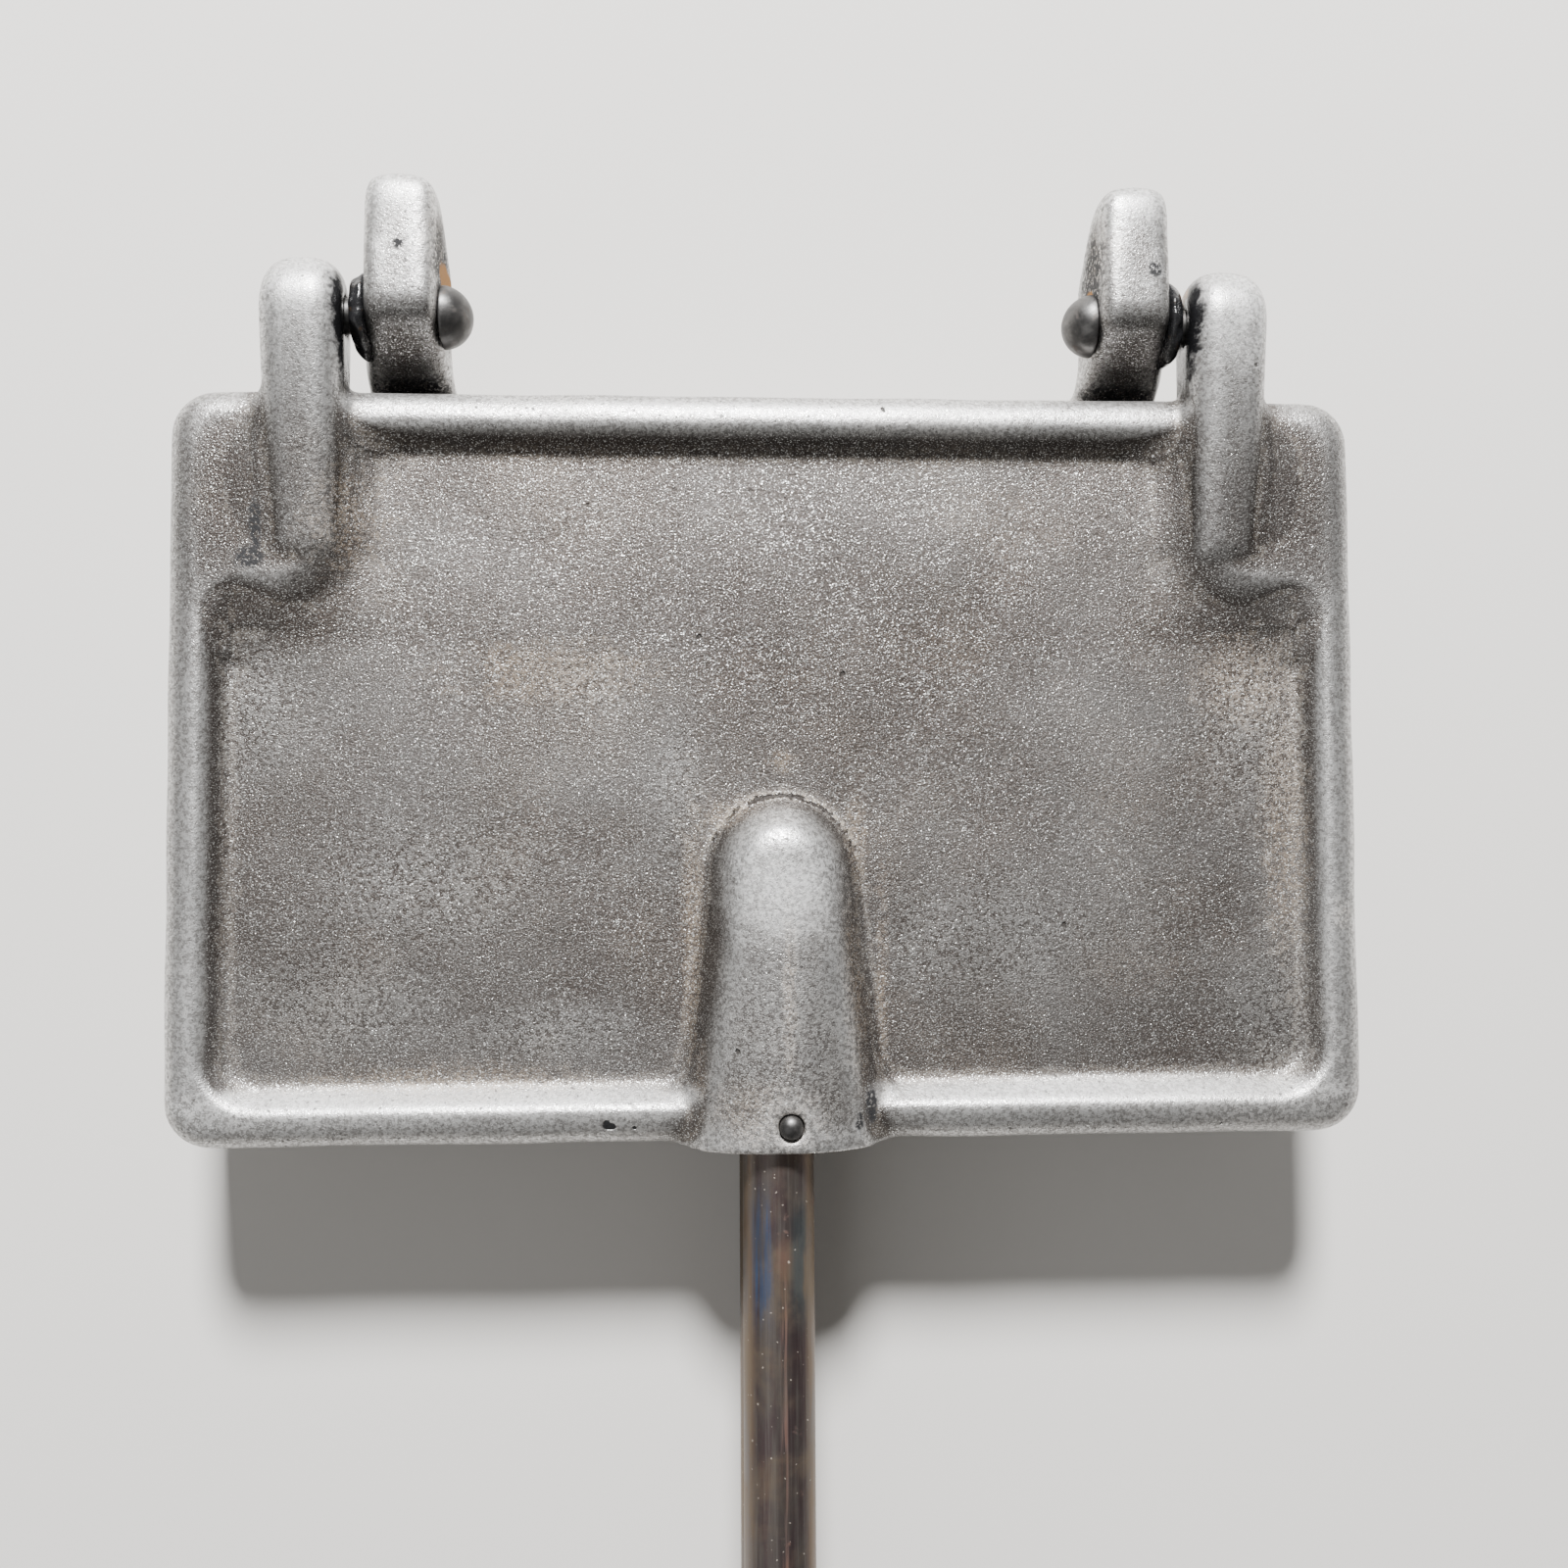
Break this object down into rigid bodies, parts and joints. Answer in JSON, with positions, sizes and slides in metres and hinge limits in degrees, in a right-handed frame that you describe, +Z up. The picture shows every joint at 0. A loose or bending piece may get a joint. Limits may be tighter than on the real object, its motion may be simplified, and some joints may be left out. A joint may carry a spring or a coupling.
{
  "type": "pizzelle iron",
  "caption": "Hinged cast plate iron for thin waffle biscuits, with sunk outer fields, lattice cooking faces and long rod handles with turned wooden grips.",
  "frame": {"origin": "on the surface that the closed iron rests on, under the middle of its whole length and width", "axes": "+X along the hinge, +Y from the grips towards the hinge, +Z up through both plates"},
  "size_m": [0.215, 0.532, 0.046],
  "materials": {
    "cast_aluminium": "sand cast, dull grey, worn brighter on the rims",
    "rod_steel": "bare drawn bar with heat tint",
    "rivet_steel": "dark, oiled",
    "ferrule_steel": "satin",
    "grip_wood": "turned, worn varnish"
  },
  "bodies": {
    "lower_half": {"lower_plate": "cast_aluminium", "hinge_rivet_left": "rivet_steel", "hinge_rivet_right": "rivet_steel", "lower_handle_rod": "rod_steel", "lower_handle_pin": "rivet_steel", "lower_ferrule": "ferrule_steel", "lower_grip": "grip_wood", "lower_grip_pin": "rivet_steel"},
    "upper_half": {"upper_plate": "cast_aluminium", "upper_handle_rod": "rod_steel", "upper_handle_pin": "rivet_steel", "upper_ferrule": "ferrule_steel", "upper_grip": "grip_wood", "upper_grip_pin": "rivet_steel"}
  },
  "joints": [
    {"name": "lid_hinge", "type": "hinge", "parent": "lower_half", "child": "upper_half", "pos_m": [0, 0.2418, 0.035], "axis": [-1, 0, 0], "range_deg": [0, 135]}
  ]
}
